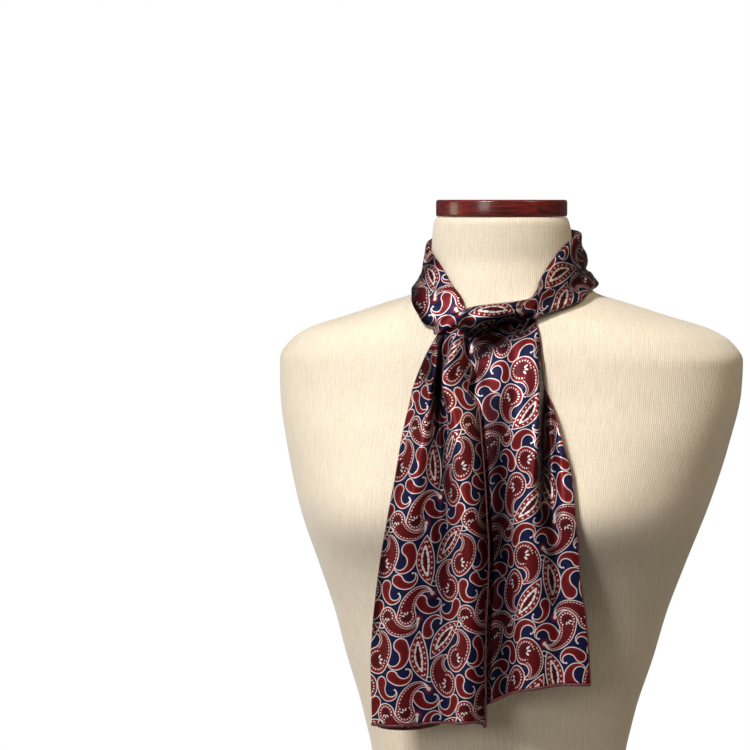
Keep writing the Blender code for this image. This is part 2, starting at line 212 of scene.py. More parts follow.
# Creases of the tails: places are from the front's middle and below the top.
LEFT_CREASES = table(
    "from_side from_below to_side to_below half_width height",
    (-33, 118, -32, 172, 3.2, -2.2), (-32, 168, -22, 232, 4, -1.4), (-22, 232, -25, 330, 5, -1),
    (-14, 118, -9, 150, 2.4, -1.2), (-50, 190, -62, 250, 4, -1), (-58, 260, -66, 400, 6, 1),
    (-36, 250, -40, 420, 5, -0.8), (8, 240, 9, 400, 4, 0.8),
)
# Painted shade in the left tail's valleys and along its edges; the depth column, from 0 to 1, is how dark it
# is painted.
LEFT_PAINTED_SHADE = table(
    "from_side from_below to_side to_below half_width depth",
    (-34, 112, -33.5, 147, 4.5, 0.85), (-33.5, 147, -31, 170, 5, 0.88), (-31, 170, -25, 200, 4.5, 0.72),
    (-25, 200, -22, 232, 5, 0.55), (-22, 232, -23.5, 290, 7, 0.42), (-23.5, 290, -25, 335, 7.5, 0.34),
    (-25, 335, -27, 415, 8, 0.22), (-45, 120, -47, 145, 4, 0.4), (5, 166, 13, 226, 5, 0.8),
    (13, 226, 18, 290, 6, 0.75), (18, 290, 17, 420, 6, 0.62), (-63, 215, -79, 350, 3.5, 0.42),
    (-9, 122, -5, 150, 2.5, 0.5),
)
FOLD_STEEP = 2.2
FOLD_SHARE = 0.03
# How fast the front layer leans, and how fast its rounding ends, from the folded edge inwards.
LEAN_FROM_EDGE, ROUND_FROM_EDGE = 8, 6
BACK_LAYER_SHARE = 0.60
BACK_LAYER_DROP = 0.0045
LEFT_BACK_COLUMNS = 24
LEFT_FOLD_COLUMNS = 10
LEFT_FRONT_COLUMNS = 84
TAIL_ROWS = 230

RIGHT_EDGES = table(
    "below left right",
    (94, -13, 39), (98.7, -14, 43), (117, -15, 49.4), (135, -15.5, 51.6), (152, -16, 54.5),
    (158, -16, 57.9), (177, -16, 67.9), (200, -16, 76), (219, -17.8, 82.7), (240, -19.8, 86.9),
    (282, -25, 91.1), (308, -27, 92.7), (334, -28.5, 96.3), (366, -29.5, 98.8), (414, -30, 100.9),
)
RIGHT_TOP = table("across below", (0, 106), (1, 95))
RIGHT_HEM = table(
    "across below",
    (0, 414), (0.325, 406), (0.52, 395), (0.65, 390), (0.91, 386.5), (1, 387),
)
RIGHT_FOLDS = {
    "middle ridge": table(
        FOLD,
        (104, 30, 10, 0.3, 0), (130, 35, 12, 8.8, -0.1), (186, 41, 15, 15.6, -0.1), (257, 48, 17, 18.7, 0),
        (320, 52.7, 18, 18.7, 0), (392, 54.4, 19, 17.5, -0.1),
    ),
    "panel edge": table(
        FOLD,
        (112, 44, 4, 0.3, 0), (135, 47, 5, 6.9, 0.4), (162, 48.5, 5, 10.9, 0.6), (194, 49.5, 6, 10.9, 0.7),
        (226, 53, 7, 8, 0.5), (257, 59, 8, 3.4, 0.2), (300, 64, 10, 1.1, 0), (390, 66, 12, 0.3, 0),
    ),
    "flap": table(
        FOLD,
        (150, 64, 4, 0.2, 0), (177, 69, 5, 6.9, 0), (200, 73.5, 6, 9.8, 0), (240, 80, 9, 9.2, 0),
        (300, 87, 11, 6.9, 0), (390, 93, 12, 6.3, 0),
    ),
}
RIGHT_CREASES = table(
    "from_side from_below to_side to_below half_width height",
    (49.7, 112, 54, 165, 1.8, -2), (54, 165, 61, 240, 2.4, -2.6), (61, 240, 64, 262, 3, -1.2),
    (47, 118, 52, 220, 2, 1.2), (36, 260, 40, 395, 5, -0.8), (70, 280, 76, 390, 5, -1),
)
# Painted shade on the right tail: painted shadow under the band, in the valley beside the left tail's edge
# and in its pleat; the depth column, from 0 to 1, is how dark it is painted.
RIGHT_PAINTED_SHADE = table(
    "from_side from_below to_side to_below half_width depth",
    (-2, 126, 20, 114, 6.5, 0.95), (20, 114, 36, 106, 5, 0.95), (36, 106, 50, 98, 4, 0.85),
    (0, 136, 8, 160, 5, 0.5), (12, 166, 21, 226, 10, 0.7), (21, 226, 25, 289, 11, 0.64),
    (25, 289, 25, 410, 11, 0.52), (50, 114, 52.5, 135, 4.2, 0.93), (52.5, 135, 55, 162, 4.6, 0.96),
    (55, 162, 58.5, 194, 6, 0.97), (58.5, 194, 63, 230, 6.5, 0.94), (63, 230, 66, 258, 6, 0.7),
    (67, 258, 71, 320, 6, 0.35),
)
RIGHT_LIFT = 0.0018
RIGHT_COLUMNS = 110
HEM_AROUND = 10

# Motifs of the print: places in millimetres in one repeat, turns in degrees.
REPEAT = (74.0, 78.0)
MOTIFS = table(
    "kind across along turn flip size",
    ("drop", 18.1, 37.4, -180, -1, 1.12),
    ("drop", 70.9, 57.7, -159, -1, 1.06),
    ("drop", 41.9, 32.6, -175, 1, 1.23),
    ("drop", 22.2, 19.7, 39, 1, 1.01),
    ("drop", 71.2, 76.4, -124, 1, 1.29),
    ("drop", 57.8, 47.9, 152, -1, 1.12),
    ("slim", 73.7, 42.6, 34, 1, 1.09),
    ("slim", 65, 17, -179, -1, 1.09),
    ("leaf", 34.7, 10.5, -43, 1, 1.09),
    ("leaf", 12.8, 73.3, -171, -1, 1.09),
    ("big", 33.8, 58.6, 84, 1, 1.09),
    ("big", 53.2, 2.2, -78, -1, 1.09),
)


def read(rows, name, place):
    """Read a column at places along the first column, on a smooth curve that doesn't overshoot its rows."""
    along = next(iter(rows.values()))
    values = rows[name]
    steps = np.diff(along)
    slopes = np.diff(values) / steps
    before, after = slopes[:-1], slopes[1:]
    same_way = before * after > 0
    weigh_before, weigh_after = 2 * steps[1:] + steps[:-1], steps[1:] + 2 * steps[:-1]
    mean = weigh_before / np.where(same_way, before, 1.0) + weigh_after / np.where(same_way, after, 1.0)
    mean = (weigh_before + weigh_after) / mean
    tangents = np.concatenate(([slopes[0]], np.where(same_way, mean, 0.0), [slopes[-1]]))
    place = np.clip(place, along[0], along[-1])
    cell = np.clip(np.searchsorted(along, place) - 1, 0, len(steps) - 1)
    part = (place - along[cell]) / steps[cell]
    return (
        (1 + 2 * part) * (1 - part) ** 2 * values[cell]
        + part * (1 - part) ** 2 * steps[cell] * tangents[cell]
        + part**2 * (3 - 2 * part) * values[cell + 1]
        + part**2 * (part - 1) * steps[cell] * tangents[cell + 1]
    )


def reads(rows, names, place):
    return [read(rows, name, place) for name in names.split()]


def bust_rise(side, below):
    """How far the two low rises of the chest stand out at a place on the front."""
    rise = 0.0
    for centre in (-BUST["side"], BUST["side"]):
        across = (side - centre) / BUST["half_width"]
        down = (below - BUST["below"]) / BUST["half_height"]
        rise = rise + BUST["rise"] * np.exp(-(across**2) - down**2)
    return rise


def on_form(turn, below):
    """Points on the form's surface. Turn is in degrees, 0 in front and 90 at the left side."""
    turn, below = np.broadcast_arrays(np.radians(turn), below)
    half_width, centre, front, back, square = reads(FORM, "half_width centre front back square", below)
    in_front = np.cos(turn) > 0
    depth = np.where(in_front, front, back)
    reach = abs(np.sin(turn) / half_width) ** square + abs(np.cos(turn) / depth) ** square
    reach = reach ** (-1 / square)
    side = -np.sin(turn) * reach
    forward = centre - np.cos(turn) * reach - np.where(in_front, bust_rise(side, below), 0.0)
    return np.stack((side, forward, HEIGHT - below), axis=-1)


def unit(vectors):
    return vectors / np.linalg.norm(vectors, axis=-1, keepdims=True)


def off_form(turn, below, lift):
    """Points moved out from the form's surface, square to it."""
    step_turn, step_below = 0.5, 0.0005
    round_it = on_form(turn + step_turn, below) - on_form(turn - step_turn, below)
    down_it = on_form(turn, below + step_below) - on_form(turn, below - step_below)
    return on_form(turn, below) + lift[..., None] * unit(np.cross(round_it, down_it))


# Cloth is hung from the chest's surface at these levels, softened over 21 of them.
HANG_LEVELS = np.arange(0.090, 0.460, 0.001)
HANG_SOFTEN = 21


def hang(side, below):
    """Where cloth lies on the chest, and below the chest's fullest line hangs straight down."""
    half_width, centre, front, square = reads(FORM, "half_width centre front square", HANG_LEVELS)
    side = side[..., None]
    bulge = (1 - (abs(side) / half_width) ** square) ** (1 / square)
    furthest = np.minimum.accumulate(centre - front * bulge - bust_rise(side, HANG_LEVELS), axis=-1)
    ends = [(0, 0)] * (side.ndim - 1) + [(HANG_SOFTEN // 2 + 1, HANG_SOFTEN // 2)]
    sums = np.cumsum(np.pad(furthest, ends, mode="edge"), axis=-1)
    soft = (sums[..., HANG_SOFTEN:] - sums[..., :-HANG_SOFTEN]) / HANG_SOFTEN
    level = (below - HANG_LEVELS[0]) / (HANG_LEVELS[1] - HANG_LEVELS[0])
    level = np.clip(level, 0, len(HANG_LEVELS) - 1.001)
    over = level.astype(int)
    upper, lower = (np.take_along_axis(soft, (over + step)[..., None], axis=-1)[..., 0] for step in (0, 1))
    return upper + (lower - upper) * (level - over)


def fold_rise(folds, side, below):
    """How far the soft ridges of a tail stand out at a place on it, and how far they lean to the right."""
    height, lean = 0.0, 0.0
    for fold in folds.values():
        middle, half_width, crest, tilt = reads(fold, "side half_width height lean", below)
        rise = crest * np.exp(-(abs((side - middle) / half_width) ** FOLD_STEEP))
        height, lean = height + rise, lean + rise * tilt
    return height, lean


def marks(rows, first, second, stretch=(1.0, 1.0)):
    """How strong each line of a table is at a place: its last column, fading to both sides."""
    found = []
    for *ends, half_width, strength in zip(*rows.values()):
        start = np.array(ends[:2]) * stretch
        line = np.array(ends[2:]) * stretch - start
        point = np.stack((first * stretch[0], second * stretch[1]), axis=-1) - start
        share = np.clip(point @ line / (line @ line), 0, 1)
        away = np.linalg.norm(point - share[..., None] * line, axis=-1) / half_width
        found.append(strength * np.exp(-(away**2)))
    return found


def tail_place(edges, top, hem, across, along, drop=0.0):
    """A place on a hanging tail: across from its left edge, along from the knot down to its hem."""
    start = read(top, "below", across)
    below = start + along * (read(hem, "below", across) + drop - start)
    side = read(edges, "left", below) * (1 - across) + read(edges, "right", below) * across
    return side, below


def left_tail_points():
    """The left tail, folded back on itself: its back layer, the fold and its front layer."""
    back = np.linspace(-1.0, -FOLD_SHARE, LEFT_BACK_COLUMNS + 1)[:-1]
    fold = np.linspace(-FOLD_SHARE, FOLD_SHARE, LEFT_FOLD_COLUMNS + 1)
    front = np.linspace(FOLD_SHARE, 1.0, LEFT_FRONT_COLUMNS + 1)[1:]
    place, along = np.meshgrid(np.concatenate((back, fold, front)), np.linspace(0, 1, TAIL_ROWS + 1))
    share = np.clip(abs(place) - FOLD_SHARE, 0, None) / (1 - FOLD_SHARE)
    in_front = place > 0
    layer = np.where(in_front, share, share * BACK_LAYER_SHARE)
    drop = np.where(in_front, 0.0, BACK_LAYER_DROP * np.sqrt(np.clip(np.sin(np.pi * share), 0, 1)))
    side, below = tail_place(LEFT_EDGES, LEFT_TOP, LEFT_HEM, layer, along, drop)
    deep = np.max(marks(LEFT_PAINTED_SHADE, side, below), axis=0)
    rise, lean = fold_rise(LEFT_FOLDS, side, below)
    rise = rise + sum(marks(LEFT_CREASES, side, below))
    side = side + np.where(in_front, lean, 0.0) * np.clip(share * LEAN_FROM_EDGE, 0, 1)
    front_lift, back_lift = reads(LEFT_LIFTS, "front back", below)
    radius = (front_lift + rise - back_lift) / 2
    angle = np.pi / 2 * np.clip(place / FOLD_SHARE, -1, 1)
    lift = back_lift + radius * (1 + np.sin(angle))
    inset = radius * np.where(share > 0, np.clip(1 - share * ROUND_FROM_EDGE, 0, 1), 1 - np.cos(angle))
    return np.stack((side + inset, hang(side, below) - lift, HEIGHT - below), axis=-1), deep


def right_tail_points():
    """The right tail, which hangs behind the left one and shows from its middle to its right edge."""
    across, along = np.meshgrid(np.linspace(0, 1, RIGHT_COLUMNS + 1), np.linspace(0, 1, TAIL_ROWS + 1))
    side, below = tail_place(RIGHT_EDGES, RIGHT_TOP, RIGHT_HEM, across, along)
    rise, lean = fold_rise(RIGHT_FOLDS, side, below)
    rise = rise + sum(marks(RIGHT_CREASES, side, below))
    lift = RIGHT_LIFT + np.maximum(0.0, rise)
    deep = np.max(marks(RIGHT_PAINTED_SHADE, side, below), axis=0)
    return np.stack((side + lean, hang(side, below) - lift, HEIGHT - below), axis=-1), deep


def strand_points():
    """The rolled strand from under the knot, round the neck, across the front and over the knot."""
    turn = np.linspace(STRAND["inner_turn"][0], STRAND["inner_turn"][-1], STRAND_SECTIONS + 1)
    roll, turn = np.meshgrid(np.radians(np.linspace(ROLL_START, ROLL_END, STRAND_AROUND + 1)), turn)
    names = "inner_below outer_turn outer_below lift plump"
    inner_below, outer_turn, outer_below, lift, plump = reads(STRAND, names, turn)
    across = (1 - np.cos(roll)) / 2
    bulge = np.sign(np.sin(roll)) * abs(np.sin(roll)) ** read(ROLL_ROUND, "power", turn)
    outside = np.clip(np.sin(roll) * CREASES_OUTSIDE, 0, 1)
    crease = sum(marks(STRAND_CREASES, turn, across, STRAND_STRETCH)) * outside
    place_turn = turn + across * (outer_turn - turn)
    place_below = inner_below + across * (outer_below - inner_below)
    deep = np.max(marks(STRAND_PAINTED_SHADE, turn, across, STRAND_STRETCH), axis=0)
    return off_form(place_turn, place_below, lift + plump * (1 + bulge) + crease), deep


def lengths(points, axis=0):
    """How far along a line of points each of them lies."""
    steps = np.linalg.norm(np.diff(points, axis=axis), axis=-1)
    return np.insert(np.cumsum(steps, axis=axis), 0, 0.0, axis=axis)


def flat_cloth(points, middle):
    """The cloth's flat width and length at each point, measured from its middle column."""
    across = lengths(points, 1)
    across = across - across[:, middle:middle + 1]
    along = lengths(points[:, middle])[:, None]
    return np.stack((across, np.broadcast_to(along, across.shape)), axis=-1)


def grid(points, flat):
    """A grid of faces through rows of points, with the flat places as its map."""
    rows, columns = points.shape[:2]
    mesh = bmesh.new()
    corners = bmesh.ops.create_grid(mesh, x_segments=columns - 1, y_segments=rows - 1, size=1.0)["verts"]
    for corner, place in zip(corners, points.reshape(-1, 3)):
        corner.co = place
    places = flat.reshape(-1, 2)
    layer = mesh.loops.layers.uv.new(FLAT)
    mesh.verts.index_update()
    for face in mesh.faces:
        for loop in face.loops:
            loop[layer].uv = places[loop.vert.index]
    return mesh


def closed(mesh, near):
    """Join the edges of a grid where they meet, and fill its ends."""
    bmesh.ops.remove_doubles(mesh, verts=mesh.verts, dist=near)
    bmesh.ops.holes_fill(mesh, edges=[edge for edge in mesh.edges if edge.is_boundary], sides=0)
    bmesh.ops.recalc_face_normals(mesh, faces=mesh.faces)
    return mesh


def placed(name, mesh, finish):
    """Turn a bmesh into an object with a material."""
    data = bpy.data.meshes.new(name)
    mesh.to_mesh(data)
    mesh.free()
    data.materials.append(bpy.data.materials[finish])
    piece = bpy.data.objects.new(name, data)
    bpy.context.scene.collection.objects.link(piece)
    return piece


def finished(name, mesh, finish):
    """A smooth piece that rides with the part."""
    piece = placed(name, mesh, finish)
    piece.data.shade_smooth()
    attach(piece, BODY)
    return piece


def silk_piece(name, points, flat, deep):
    """A thin printed shell, with the painted shade of its folds kept on its points."""
    mesh = grid(points, flat)
    layer = mesh.verts.layers.float.new(PAINTED_SHADE_LAYER)
    # Painted shade: each point keeps how strongly its print is darkened.
    for corner, share in zip(mesh.verts, np.clip(deep, 0, 1).reshape(-1)):
        corner[layer] = 1 - (1 - share) ** PAINTED_SHADE_POWER
    bmesh.ops.recalc_face_normals(mesh, faces=mesh.faces)
    piece = finished(name, mesh, "printed silk")
    wall = piece.modifiers.new("wall", "SOLIDIFY")
    wall.thickness = bpy.context.scene.scarf_look.thickness
    wall.offset = 0.0
    return piece


def tube(route, radii, flat):
    """A closed tube along a route, with a radius and a flat place at each of its points."""
    along = unit(np.gradient(route, axis=0))
    first = unit(np.cross(along, (0.0, 1.0, 0.0)))
    angle = np.linspace(0, 2 * np.pi, HEM_AROUND + 1)
    turns = np.stack((np.cos(angle), np.sin(angle)), axis=-1)
    ring = turns @ np.stack((first, np.cross(along, first)), axis=1)
    points = route[:, None] + ring * radii[:, None, None]
    places = flat[:, None] + np.stack((0 * angle, angle), axis=-1) * radii[:, None, None]
    return closed(grid(points, places), 0.00002)


class Wire:
    """A node's output. A sum with it is a new node in its own tree."""

    def __init__(self, socket):
        self.socket = socket

    def __add__(self, other):
        return maths("ADD", self, other)

    def __sub__(self, other):
        return maths("SUBTRACT", self, other)

    def __rsub__(self, other):
        return maths("SUBTRACT", other, self)

    def __mul__(self, other):
        return maths("MULTIPLY", self, other)

    def __truediv__(self, other):
        return maths("DIVIDE", self, other)

    def __abs__(self):
        return maths("ABSOLUTE", self)


def link(wire, socket):
    wire.socket.id_data.links.new(wire.socket, socket)


def node(tree, kind, inputs=(), **settings):
    """Add a node, give each of its inputs a value or a wire, and return its outputs."""
    made = tree.nodes.new(kind)
    for name, value in settings.items():
        setattr(made, name, value)
    for place, value in dict(inputs).items():
        if isinstance(value, Wire):
            link(value, made.inputs[place])
        else:
            made.inputs[place].default_value = value
    return made.outputs


def source(tree, kind, output=0, **settings):
    """A wire from a node that takes none."""
    return Wire(node(tree, kind, **settings)[output])


def wired(kind, inputs, output=0, **settings):
    """A wire from a node in the tree of the wires that it takes."""
    inputs = dict(inputs)
    tree = next(value.socket.id_data for value in inputs.values() if isinstance(value, Wire))
    return Wire(node(tree, kind, inputs, **settings)[output])


def maths(operation, *values, **settings):
    return wired("ShaderNodeMath", enumerate(values), operation=operation, **settings)


def vectors(operation, *values):
    number = operation in ("LENGTH", "DISTANCE")
    return wired("ShaderNodeVectorMath", enumerate(values), int(number), operation=operation)


def split(vector):
    """The sideways and the upward part of a flat place."""
    outputs = node(vector.socket.id_data, "ShaderNodeSeparateXYZ", {0: vector})
    return Wire(outputs[0]), Wire(outputs[1])


def length(side, height):
    return vectors("LENGTH", wired("ShaderNodeCombineXYZ", {0: side, 1: height}))


def fade(value, start, end):
    """1 at end, 0 at start, and smooth between them."""
    ends = (value, start, end, 0.0, 1.0)
    return wired("ShaderNodeMapRange", enumerate(ends), interpolation_type="SMOOTHSTEP")


def blend(share, below, above):
    return wired("ShaderNodeMix", {0: share, 6: below, 7: above}, 2, data_type="RGBA")


def noise(place, scale, detail=2.0, distortion=0.0):
    inputs = {"Vector": place, "Scale": scale, "Detail": detail, "Distortion": distortion}
    return wired("ShaderNodeTexNoise", inputs)


def group(name, inputs, *outputs):
    """A node group with named sockets: its tree, a wire from each input, and the sockets of its outputs."""
    tree = bpy.data.node_groups.new(name, "ShaderNodeTree")
    for label, kind in inputs.items():
        tree.interface.new_socket(name=label, in_out="INPUT", socket_type="NodeSocket" + kind)
    for label, kind in outputs:
        tree.interface.new_socket(name=label, in_out="OUTPUT", socket_type="NodeSocket" + kind)
    given = node(tree, "NodeGroupInput")
    return tree, {label: Wire(given[label]) for label in inputs}, tree.nodes.new("NodeGroupOutput").inputs


# Comma shapes: sizes in millimetres, the sweep in degrees, shrink the end share of the spiral.
COMMAS = {
    "big": dict(head=9.8, spiral=17.5, sweep=128.0, shrink=0.26, tip=1.4, knob=1.4, power=1.0, soft=6.0,
                middle=(-7.5, -5.0, 0.0), dashes=20, dots=18),
    "slim": dict(head=7.2, spiral=23.0, sweep=120.0, shrink=0.14, tip=1.2, knob=1.15, power=1.0, soft=5.0,
                 middle=(-6.0, -11.0, 0.0), dashes=15, dots=20),
    "drop": dict(head=4.3, spiral=11.0, sweep=215.0, shrink=0.14, tip=0.1, knob=0.35, power=1.6, soft=3.5,
                 middle=(-5.0, -3.0, 0.0)),
}
# A comma's tail is measured from this turn on, and these keep its ends apart from its head and its knob.
TAIL_FROM = math.radians(-60)
BEFORE_TAIL, PAST_TAIL = 500.0, 60.0
# Shares of a paisley's head: its ring of dashes, its heart and its petals. The rest are millimetres.
RING, RIM, DASH_HALF, DASH_REACH = 0.70, 0.3, 0.34, 0.44
HEART = (0.62, 0.30)
PETALS = dict(middle=0.36, reach=0.16, half_width=0.075, half_step=0.375, half_fan=1.12)
HALO = dict(rays=15.0, wave=0.9, reach=3.4)
DOTS_IN = 2.1
LEAF = dict(half_length=19.0, half_width=7.0, bend=0.16, curl=2.1, dot_step=4.1, dots_in=2.0, frame_in=4.4)
LINE_HALF = 0.35
MOTIF_INPUTS = dict(Below="Color", Position="Vector", Place="Vector", Turn="Float", Stretch="Vector",
                    Size="Float", Line="Color", Fill="Color", Core="Color")
COLOUR = ("Color", "Color")


def motif_place(given):
    """The place in one motif's own frame, whichever repeat it is in."""
    away = vectors("SUBTRACT", given["Position"], given["Place"])
    half = (REPEAT[0] / 2, REPEAT[1] / 2, 1.0)
    away = vectors("WRAP", away, half, tuple(-x for x in half))
    turned = wired("ShaderNodeVectorRotate", {"Vector": away, "Angle": given["Turn"]}, rotation_type="Z_AXIS")
    return vectors("MULTIPLY", turned, given["Stretch"])


def filled(distance, given, fill):
    """A motif's colour inside its outline, over what lies below it."""
    return blend(fade(distance, 0.2, -0.2), given["Below"], fill)


def outlined(colour, distance, given):
    """The printed outline over a motif."""
    return blend(fade(abs(distance), LINE_HALF + 0.2, LINE_HALF - 0.15), colour, given["Line"])


def comma_field(place, size, shape):
    """A place's distance from a comma's outline and head, its way from the tip, its angle and its share."""
    place = vectors("SUBTRACT", place, shape["middle"])
    side, height = split(place)
    sweep = math.radians(shape["sweep"])
    spiral = shape["spiral"]
    end = spiral * shape["shrink"]
    tip = (spiral - end * math.cos(sweep), end * math.sin(sweep), 0.0)
    from_head = vectors("LENGTH", place)
    turn = maths("WRAP", maths("ARCTAN2", height, spiral - side), TAIL_FROM + 2 * math.pi, TAIL_FROM)
    along = turn / sweep
    thinning = maths("POWER", maths("SUBTRACT", 1.0, along, use_clamp=True), shape["power"])
    radius = thinning * (shape["head"] - shape["tip"]) + shape["tip"]
    off_spine = abs(vectors("DISTANCE", place, (spiral, 0.0, 0.0)) - (along * (end - spiral) + spiral))
    past = maths("MAXIMUM", along - 1.0, 0.0) * PAST_TAIL
    before = maths("MAXIMUM", along * -1.0, 0.0) * BEFORE_TAIL
    soft = maths("MULTIPLY", along, 3.0, use_clamp=True) * shape["soft"]
    body = maths("SMOOTH_MIN", from_head - shape["head"], off_spine - radius + past + before, soft)
    distance = maths("MINIMUM", body, vectors("DISTANCE", place, tip) - shape["knob"]) * size
    return distance, from_head, vectors("SUBTRACT", place, tip), maths("ARCTAN2", height, side), along


def drop_motif():
    """A plain comma with a darker middle."""
    tree, given, result = group("printed drop", MOTIF_INPUTS, COLOUR)
    distance, *_ = comma_field(motif_place(given), given["Size"], COMMAS["drop"])
    colour = blend(fade(distance, -0.4, -3.0) * 0.70, filled(distance, given, given["Fill"]), given["Core"])
    link(outlined(colour, distance, given), result[0])
    return tree


def near_cell(value, count, reach):
    """Distance to the nearest of count marks spread along a reach."""
    return abs(maths("FRACT", value * count) - 0.5) * (reach / count)


def paisley_motif(kind):
    """A comma with a ring of dashes, a row of dots along its tail, a dark heart and three petals."""
    tree, given, result = group("printed " + kind + " paisley", MOTIF_INPUTS, COLOUR)
    line, core = given["Line"], given["Core"]
    shape = COMMAS[kind]
    head = shape["head"]
    distance, from_head, from_tip, angle, along = comma_field(motif_place(given), given["Size"], shape)
    if kind == "slim":
        side, height = split(from_tip)
        edge = maths("SINE", maths("ARCTAN2", height, side) * HALO["rays"]) * HALO["wave"] + HALO["reach"]
        glow = fade(vectors("LENGTH", from_tip) - edge, 0.5, -0.9) * 0.8
        given["Below"] = blend(glow, given["Below"], given["Fill"])
    colour = filled(distance, given, given["Fill"])
    inside = fade(distance, 0.0, -0.4)
    colour = blend(fade(distance, -0.6, -3.4) * 0.72, colour, core)
    colour = blend(fade(from_head, head * HEART[0], head * HEART[1]) * inside * 0.9, colour, core)
    beside = near_cell(angle / (2 * math.pi), shape["dashes"], 2 * math.pi * head * RING) - DASH_HALF
    off_ring = abs(from_head - head * RING) - DASH_REACH
    dash = fade(maths("MAXIMUM", beside, off_ring), 0.3, 0.0) * fade(abs(distance + head * RIM), 1.9, 1.7)
    colour = blend(dash, colour, line)
    row = math.radians(shape["sweep"]) * shape["spiral"] * 0.8
    dot = fade(length(near_cell(along, shape["dots"], row), distance + DOTS_IN), 0.68, 0.34)
    dot = dot * fade(along, 0.0, 0.03) * fade(along, 0.93, 0.88) * fade(from_head, head * 0.88, head * 0.96)
    colour = blend(dot * 0.9, colour, line)
    fan = angle - math.pi / 2
    folded = maths("WRAP", fan, PETALS["half_step"], -PETALS["half_step"])
    petal = length((from_head - head * PETALS["middle"]) / (head * PETALS["reach"]),
                   folded * from_head / (head * PETALS["half_width"]))
    petal = fade(petal, 1.2, 0.8) * fade(abs(fan), PETALS["half_fan"] + 0.02, PETALS["half_fan"] - 0.02)
    colour = blend(petal, colour, line)
    if kind == "slim":
        colour = blend(inside * fade(along, 0.74, 0.84), colour, line)
    link(outlined(colour, distance, given), result[0])
    return tree


def leaf_motif():
    """A pointed leaf with a broken inner frame, dots between and a curl at its tip."""
    tree, given, result = group("printed leaf", MOTIF_INPUTS, COLOUR)
    line, core = given["Line"], given["Core"]
    half_length, half_width, curl = LEAF["half_length"], LEAF["half_width"], LEAF["curl"]
    side, height = split(motif_place(given))
    bent = height * height * (-LEAF["bend"] / half_length) + side
    place = wired("ShaderNodeCombineXYZ", {0: bent, 1: height})
    offset = (half_length**2 - half_width**2) / (2 * half_width)
    sides = [vectors("DISTANCE", place, (sign * offset, 0.0, 0.0)) for sign in (-1, 1)]
    distance = maths("MAXIMUM", *sides) - (offset + half_width)
    colour = filled(distance, given, blend(0.25, given["Fill"], core))
    colour = blend(fade(distance, -4.2, -5.0), colour, core)
    dot = length(near_cell(height, 1 / LEAF["dot_step"], 1.0), distance + LEAF["dots_in"])
    colour = blend(fade(dot, 0.78, 0.45), colour, line)
    brush = maths("SINE", height * 1.9) * maths("SINE", height * 0.63) * 0.38 + 0.62
    colour = blend(fade(abs(distance + LEAF["frame_in"]) - brush, 0.25, -0.05), colour, line)
    ring = vectors("DISTANCE", place, (curl + 0.4, half_length - 0.6, 0.0)) - curl
    link(outlined(colour, maths("MINIMUM", distance, abs(ring)), given), result[0])
    return tree


def paisley_print():
    """The whole printed repeat, from a flat place in metres to a colour."""
    colours = {"Ground": "Color", "Line": "Color", "Fill": "Color", "Core": "Color"}
    tree, given, result = group("paisley print", {"Flat": "Vector", **colours}, COLOUR)
    position = vectors("MULTIPLY", given["Flat"], (1000.0, 1000.0, 0.0))
    motifs = {"drop": drop_motif(), "leaf": leaf_motif()}
    motifs.update((kind, paisley_motif(kind)) for kind in ("big", "slim"))
    fill = blend(fade(noise(position, 0.9, 3.0), 0.44, 0.56) * 0.70, given["Fill"], given["Core"])
    colour = given["Ground"]
    for kind, across, along, turn, flip, size in zip(*MOTIFS.values()):
        colour = wired("ShaderNodeGroup", {
            "Below": colour, "Position": position, "Place": (across, along, 0.0), "Turn": -math.radians(turn),
            "Stretch": (flip / size, 1 / size, 0.0), "Size": size, "Line": given["Line"], "Fill": fill,
            "Core": given["Core"]}, node_tree=motifs[kind])
    link(colour, result[0])
    return tree


def weave_group():
    """A fine slanting weave, from a flat place in metres: its height, and how much it mottles the colour."""
    outputs = ("Height", "Float"), ("Mottle", "Float")
    tree, given, result = group("fine weave", {"Flat": "Vector", "Pitch": "Float"}, *outputs)
    side, height = split(given["Flat"])
    twill = maths("SINE", (side + height) / given["Pitch"] * (2 * math.pi))
    cross = maths("SINE", height / given["Pitch"] * (4 * math.pi))
    slub = noise(given["Flat"], 900.0)
    link(slub * 0.5 + twill * cross * 0.25 + 0.5, result["Height"])
    link(fade(slub, 0.25, 0.75), result["Mottle"])
    return tree


def woven(flat, pitch, output="Height"):
    weave = bpy.data.node_groups["fine weave"]
    return wired("ShaderNodeGroup", {"Flat": flat, "Pitch": pitch}, output, node_tree=weave)


def new_material(name, **plain):
    """A material's tree and its Principled shader, with the values that are the same all over it."""
    made = bpy.data.materials.new(name)
    made.use_nodes = True
    shader = made.node_tree.nodes["Principled BSDF"]
    for label, value in plain.items():
        shader.inputs[label.replace("_", " ")].default_value = value
    return made.node_tree, shader


def bump(shader, height, distance, strength):
    raised = wired("ShaderNodeBump", {"Height": height, "Distance": distance, "Strength": strength})
    link(raised, shader.inputs["Normal"])


def silk_material():
    look = bpy.context.scene.scarf_look
    tree, shader = new_material("printed silk", Specular_IOR_Level=0.12)
    flat = source(tree, "ShaderNodeUVMap", uv_map=FLAT)
    inputs = {"Flat": flat, "Ground": look.ground, "Line": look.line, "Fill": look.fill, "Core": look.core}
    colour = wired("ShaderNodeGroup", inputs, node_tree=paisley_print())
    mottle = woven(flat, look.weave_pitch, "Mottle")
    colour = blend(mottle, blend(0.22, colour, (0.0, 0.0, 0.0, 1.0)), colour)
    # Painted shade: where the folds lie in shade the print turns towards near black and more metallic.
    deep = source(tree, "ShaderNodeAttribute", "Fac", attribute_name=PAINTED_SHADE_LAYER)
    deep = maths("MULTIPLY", deep, look.painted_fold_shade, use_clamp=True)
    link(blend(deep, colour, (0.002, 0.001, 0.002, 1.0)), shader.inputs["Base Color"])
    link(deep * 0.55 + 0.35, shader.inputs["Metallic"])
    link(mottle * 0.10 + 0.44, shader.inputs["Roughness"])
    bump(shader, woven(flat, look.weave_pitch), 0.00004, 0.6)


